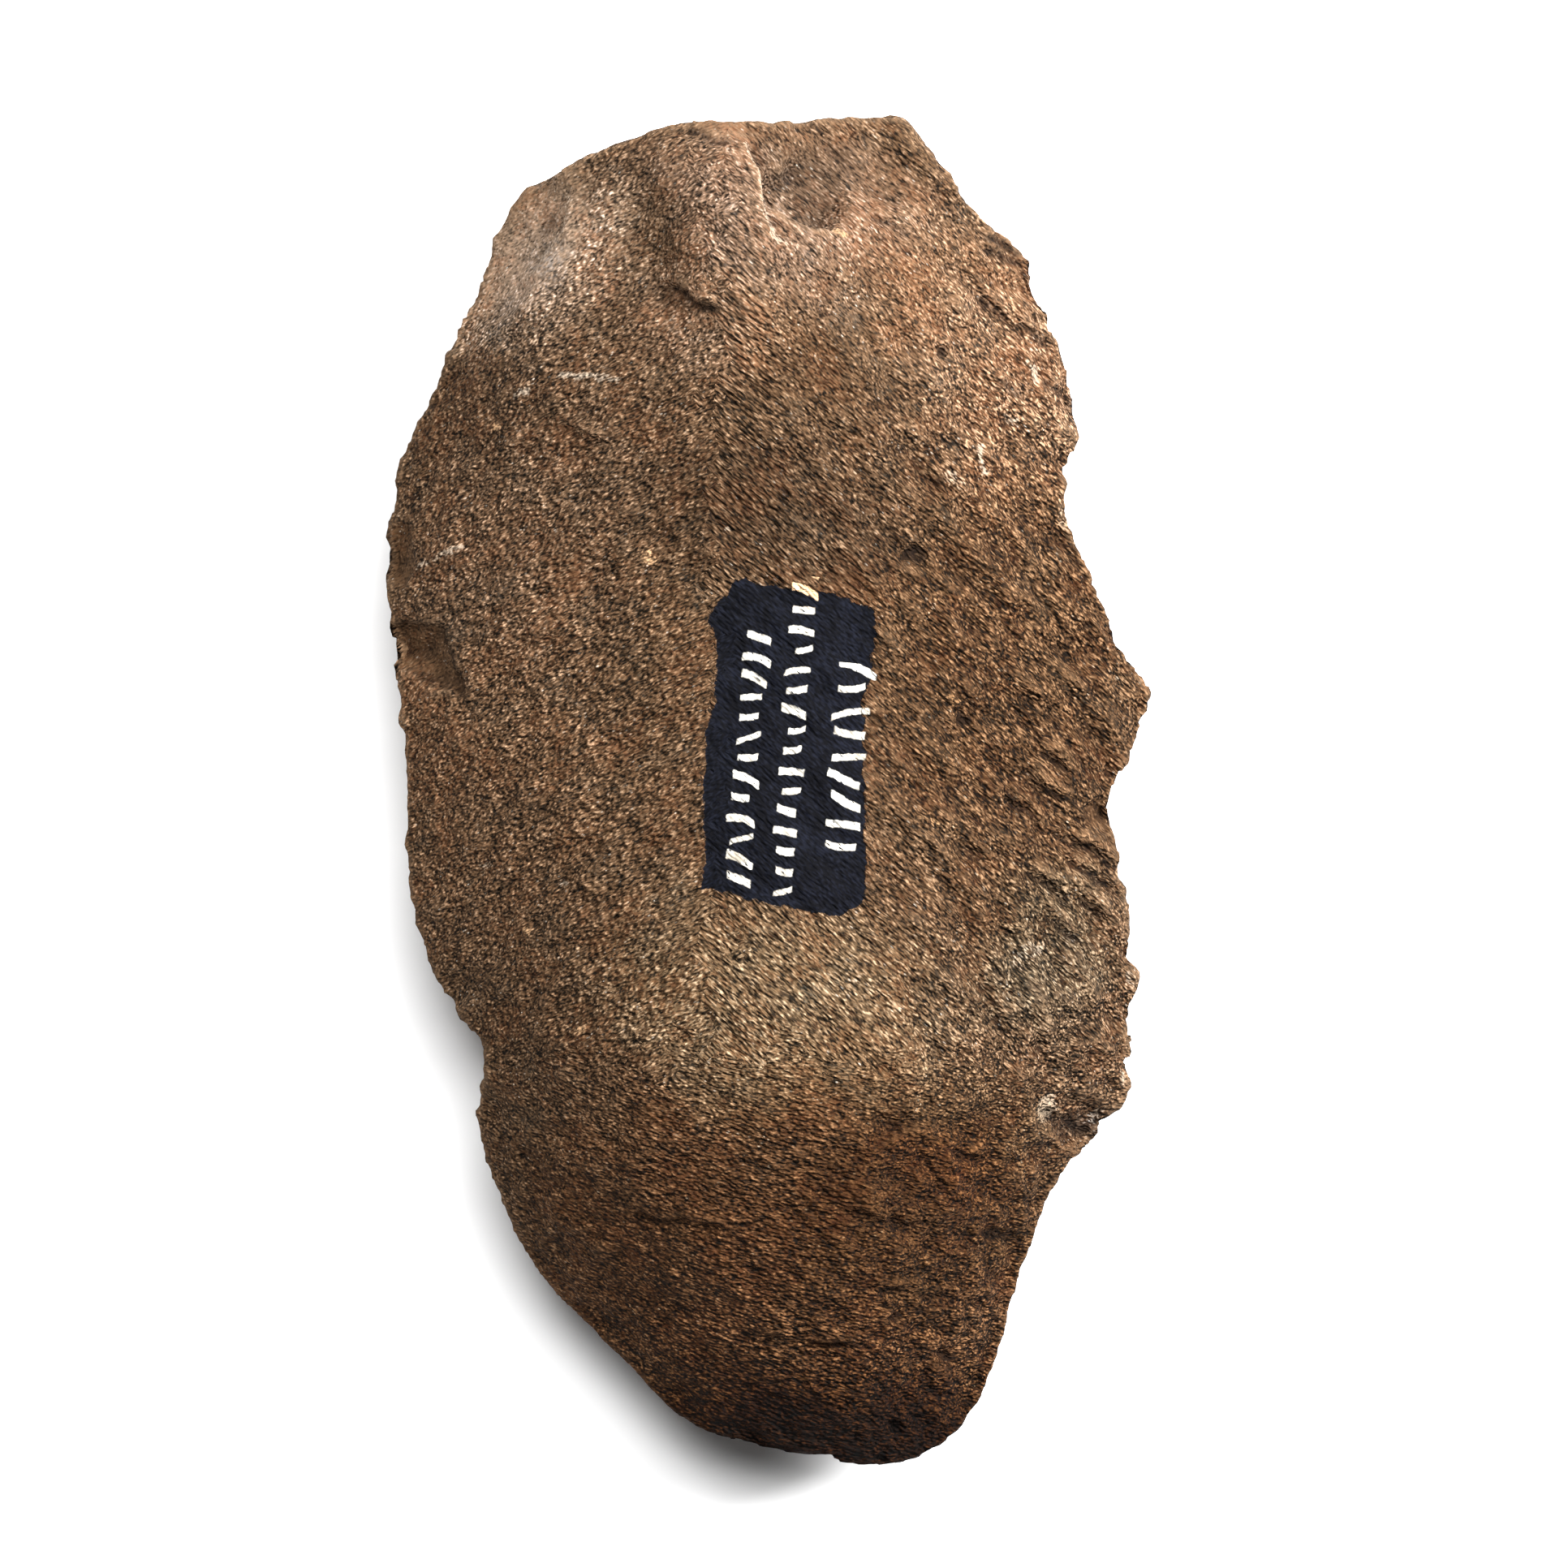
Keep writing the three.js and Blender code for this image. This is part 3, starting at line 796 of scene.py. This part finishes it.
def weathered_stone(material):
    """The worked stone's own form in an even fine mesh, with its relief and marks."""
    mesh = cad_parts[NODE].data.copy()
    mesh.materials.clear()
    merged = bmesh.new()
    merged.from_mesh(mesh)
    bmesh.ops.remove_doubles(merged, verts=merged.verts, dist=MERGE_DISTANCE * MM)
    merged.to_mesh(mesh)
    merged.free()
    stone = bpy.data.objects.new(PIECE, mesh)
    bpy.context.scene.collection.objects.link(stone)
    even = stone.modifiers.new("even_mesh", "REMESH")
    even.mode = "VOXEL"
    even.voxel_size = MESH_STEP * MM
    relief = stone.modifiers.new("relief", "NODES")
    relief.node_group, identifiers = relief_nodes(material)
    for name, size in RELIEF.items():
        relief[identifiers[name]] = size
    made = stone.evaluated_get(bpy.context.evaluated_depsgraph_get())
    stone.data = bpy.data.meshes.new_from_object(made)
    stone.modifiers.clear()
    mark_stone(stone.data)
    return stone


def attribute(tree, name, output="Fac"):
    return tree.value("ShaderNodeAttribute", {"attribute_name": name}, None, output)


def coated(tree, color, mask, coat):
    """A colour under a coat that comes in with a mask."""
    share = mask.rise(coat.start, coat.full) * coat.strength
    return tree.mix(share, color, shade(coat.color))


def stone_grit(tree, place):
    """The stone's streaks, crystals and mottling, and how high its grit stands."""
    streaked = grain_place(tree, place)
    mottle = tree.noise(place.vector, *MOTTLE)
    (facet, rarity, tint), near = tree.cells(streaked, CRYSTALS)
    middle = tree.noise(streaked, *MIDDLE_GRIT)
    small = tree.noise(streaked, *SMALL_GRIT)
    bent = tree.vector("ADD", streaked, tree.join(small * GRIT_BEND, middle * GRIT_BEND, 0.0))
    (lump, _, _), _ = tree.cells(bent, GRIT_LUMPS)
    uneven = tree.noise(place.vector, *UNEVEN_GRIT).rise(-0.4, 0.4) * 0.9 + 0.4
    on_right = place.x.rise(*COARSE_RIGHT) * GRIT_HEIGHT["coarse on the right"]
    low_down = place.y.fall(*COARSE_LOW) * GRIT_HEIGHT["coarse low down"]
    height = tree.noise(streaked, *COARSE_GRIT) * (on_right + low_down + GRIT_HEIGHT["coarse"])
    height = height + middle * uneven * GRIT_HEIGHT["middle"] + small * GRIT_HEIGHT["small"]
    height = height + lump * uneven * GRIT_HEIGHT["lumps"]
    return Grit(
        grain=tree.noise(streaked, *GRAIN),
        fine=tree.noise(streaked, *FINE_GRAIN),
        mottle=mottle,
        rust=tree.noise(place.vector, *RUST),
        fibre=abs(tree.noise(streaked, *FIBRE)).fall(0, FIBRE_WIDTH),
        crevice=abs(tree.noise(streaked, *CREVICE)).fall(0, CREVICE_WIDTH),
        facet=facet,
        rarity=rarity,
        tint=tint,
        near=near,
        lump=lump,
        height=height,
    )


def grain_tone(grit):
    """How light the grain is, about 0."""
    crystal = (grit.facet - 0.5) * TONE["facet"] + (grit.near - MEAN_DISTANCE) * TONE["crystal border"]
    tone = grit.grain * TONE["grain"] + grit.fine * TONE["fine"] + grit.mottle * TONE["mottle"]
    tone = tone + grit.fibre * TONE["fibre"] + grit.crevice * TONE["crevice"]
    tone = tone + (grit.lump - 0.5) * TONE["lumps"] + (grit.height - MEAN_HEIGHT) * TONE["height"]
    return tone + crystal * (grit.mottle * 0.5 + 0.9)


def pale_specks(grit):
    return grit.near.fall(0.2, 0.6) * (grit.rarity + grit.mottle * 0.12).rise(0.96, 1.05)


def dark_flecks(grit):
    return grit.near.fall(0.3, 0.6) * grit.rarity.fall(0.03, 0.13)


def bare_stone(tree, grit, tone, specks):
    """The stone's colours: grain, rust, grey, paler tones with painted light, pale specks and dark flecks.
    """
    color = coated(tree, shade(DEEP_BROWN), tone, BROWN_GRAIN)
    color = coated(tree, color, tone, LIGHT_GRAIN)
    color = coated(tree, color, grit.tint * 0.5 + grit.rust, RUSTY_COAT)
    color = coated(tree, color, grit.tint * 0.4 - grit.rust, GREY_COAT)
    # Paler tones of the broad patches, partly painted light.
    color = tree.vector("MULTIPLY", color, attribute(tree, "paler_tone_and_painted_light", "Vector"))
    color = tree.mix(specks * SPECK_STRENGTH, color, shade(PALE_SPECK))
    return tree.mix(dark_flecks(grit) * FLECK_STRENGTH, color, shade(DARK_FLECK))


def marked_stone(tree, color, grit):
    """The stone's colour with worn lips, chips, rubbed high spots, painted shade in hollows and at scarp
    feet, and darker tones.
    """
    ragged = (grit.grain + grit.fine) * 0.6 + grit.mottle * 0.4
    sunk = attribute(tree, "sunk")
    color = coated(tree, color, attribute(tree, "pale") * 0.9 + ragged, WORN_COAT)
    color = coated(tree, color, attribute(tree, "chip") + ragged * 1.5, FRESH_CHIP)
    # Painted shade at scarp feet, in pits and along flake borders.
    color = coated(tree, color, attribute(tree, "dark") + ragged * 0.4, SHADED_FOOT)
    # Painted shade in the mesh's hollows.
    color = coated(tree, color, sunk, SHADED_HOLLOW)
    color = coated(tree, color, -sunk, RUBBED_HIGH_SPOT)
    # Darker tones of the broad patches, partly painted shade.
    return tree.vector("MULTIPLY", color, attribute(tree, "darker_tone_and_painted_shade", "Vector"))


def label_frame(place):
    """Across and along the label from its middle."""
    lean = math.radians(LABEL_LEAN)
    x = place.x - LABEL_MIDDLE[0]
    y = place.y - LABEL_MIDDLE[1]
    across = x * math.cos(lean) - y * math.sin(lean)
    along = x * math.sin(lean) + y * math.cos(lean)
    return across, along


def label_patch(tree, place):
    """1 on the painted patch."""
    ragged = tree.noise(place.vector, *LABEL_BORDER) * LABEL_RAGGED
    return (ragged - attribute(tree, "label")).fall(*LABEL_EDGE)


def stroke_row(tree, number, row, across, along, wobble):
    """1 on one row of short painted strokes, each with its own tilt, length, shift and width."""
    step = (along - row.start) / row.pitch
    cell = step.math("FLOOR")
    drawn = {"Vector": tree.join(cell, number, 0.0)}
    draw = tree.node("ShaderNodeTexWhiteNoise", {"noise_dimensions": "2D"}, drawn)
    tilt, length, shift = tree.parts(tree.pick(draw, "Color"))
    up = across - row.across - (shift - 0.5) * STROKE_SHIFT
    bend = up * up * (length - 0.5) * STROKE_BEND
    offset = (step - cell - 0.5) * row.pitch + up * (tilt - 0.5) * STROKE_TILT + bend
    width = (tree.pick(draw, "Value") * 0.5 + 0.75) * STROKE_HALF_WIDTH
    body = (abs(offset) + wobble - width).fall(*STROKE_EDGE)
    reach = (length * 0.45 + 0.55) * (row.height / 2)
    ends = (abs(up) - reach + wobble).fall(*STROKE_END)
    inside = cell.math("GREATER_THAN", -0.5) * along.math("LESS_THAN", row.end)
    return body * ends * inside


def label_strokes(tree, place, across, along, grit):
    """1 on the rows of painted strokes, where they are not worn off."""
    wobble = tree.noise(place.vector, *STROKE_WOBBLE) * STROKE_WOBBLE_REACH
    strokes = 0.0
    for number, row in enumerate(LABEL_ROWS):
        strokes = stroke_row(tree, number, row, across, along, wobble).math("MAXIMUM", strokes)
    unworn = (grit.fine + grit.grain * 0.6).fall(*STROKE_WORN)
    return strokes * attribute(tree, "label").rise(*NEAR_LABEL) * unworn


def labelled_stone(tree, color, place, grit, patch):
    """The stone's colour under the painted label."""
    across, along = label_frame(place)
    paint = coated(tree, shade(LABEL_BLACK), grit.fine + grit.mottle, WORN_BLACK)
    color = tree.mix(patch, color, paint)
    chalk = coated(tree, shade(WHITE_PAINT), grit.mottle, GRIMY_PAINT)
    chalk = coated(tree, chalk, along, YELLOWED_PAINT)
    return tree.mix(label_strokes(tree, place, across, along, grit), color, chalk)


def stone_material():
    """Coarse brown stone: streaked crystals, pale specks, worn lips, broad tones with painted light and
    painted shade, and the painted label.
    """
    material = bpy.data.materials.new("coarse_brown_stone")
    material.use_nodes = True
    material.node_tree.nodes.clear()
    tree = Tree(material.node_tree)
    place = place_of(tree, tree.value("ShaderNodeTexCoord", None, None, "Object"))
    grit = stone_grit(tree, place)
    broken = 1 - attribute(tree, "smooth")
    lively = place.x.rise(*LIVELY_RIGHT) * LIVELY_GAIN + place.y.fall(*LIVELY_TIP) * LIVELY_GAIN + 1
    specks = pale_specks(grit)
    patch = label_patch(tree, place)
    color = bare_stone(tree, grit, grain_tone(grit) * (broken * 0.6 + 0.4) * lively, specks)
    color = marked_stone(tree, color, grit)
    color = labelled_stone(tree, color, place, grit, patch)
    height = grit.height * lively * (broken * 0.75 + 0.25) * (1 - patch * 0.6)
    sockets = {"Strength": 1.0, "Distance": BUMP_DEPTH * MM, "Height": height}
    bump = tree.value("ShaderNodeBump", None, sockets)
    sockets = {
        "Base Color": color,
        "Roughness": STONE_ROUGHNESS - specks * SPECK_SHEEN,
        "Specular IOR Level": STONE_SPECULAR,
        "Normal": bump,
    }
    surface = tree.value("ShaderNodeBsdfPrincipled", None, sockets)
    tree.node("ShaderNodeOutputMaterial", None, {"Surface": surface})
    return material


def floor_material():
    material = bpy.data.materials.new("white_floor")
    material.use_nodes = True
    shader = material.node_tree.nodes["Principled BSDF"]
    shader.inputs["Base Color"].default_value = (FLOOR_WHITE, FLOOR_WHITE, FLOOR_WHITE, 1)
    shader.inputs["Roughness"].default_value = FLOOR_ROUGHNESS
    return material


def white_floor():
    bpy.ops.mesh.primitive_plane_add(size=FLOOR_SIDE, location=(0, 0, -FLOOR_DROP))
    floor = bpy.context.object
    floor.name = "floor"
    floor.data.materials.append(floor_material())


def soft_light(name, azimuth, elevation, power):
    """A square lamp that faces the stone from a compass direction, clockwise from +Y, and a height."""
    lamp = bpy.data.lights.new(name, "AREA")
    lamp.size = LAMP_SIZE
    lamp.energy = power
    light = bpy.data.objects.new(name, lamp)
    bearing = math.radians(azimuth)
    height = math.radians(elevation)
    level = math.cos(height)
    towards = Vector((math.sin(bearing) * level, math.cos(bearing) * level, math.sin(height)))
    light.location = towards * LAMP_DISTANCE
    light.rotation_euler = towards.to_track_quat("Z", "Y").to_euler()
    bpy.context.scene.collection.objects.link(light)


def studio():
    """Key light from the right, a second light from beyond the butt, and a pale surround."""
    soft_light("key_light", 62, 38, 47)
    soft_light("top_light", -8, 70, 17)
    world = bpy.data.worlds.new("pale_surround")
    world.use_nodes = True
    background = world.node_tree.nodes["Background"]
    background.inputs["Color"].default_value = (1, 1, 1, 1)
    background.inputs["Strength"].default_value = SURROUND_STRENGTH
    bpy.context.scene.world = world
    bpy.context.scene.view_settings.view_transform = "Standard"


def camera():
    """Straight above, with the frame's width at the height of the stone's edge."""
    data = bpy.data.cameras.new("overhead_camera")
    data.sensor_width = SENSOR_WIDTH
    data.lens = SENSOR_WIDTH * CAMERA_DISTANCE / VIEW_WIDTH
    data.clip_end = CAMERA_CLIP
    view = bpy.data.objects.new("overhead_camera", data)
    view.location = (VIEW_MIDDLE[0] * MM, VIEW_MIDDLE[1] * MM, (EDGE_HEIGHT + CAMERA_DISTANCE) * MM)
    bpy.context.scene.collection.objects.link(view)
    bpy.context.scene.camera = view


camera()
studio()
white_floor()
stone = weathered_stone(stone_material())
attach(stone, "root")
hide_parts(NODE)
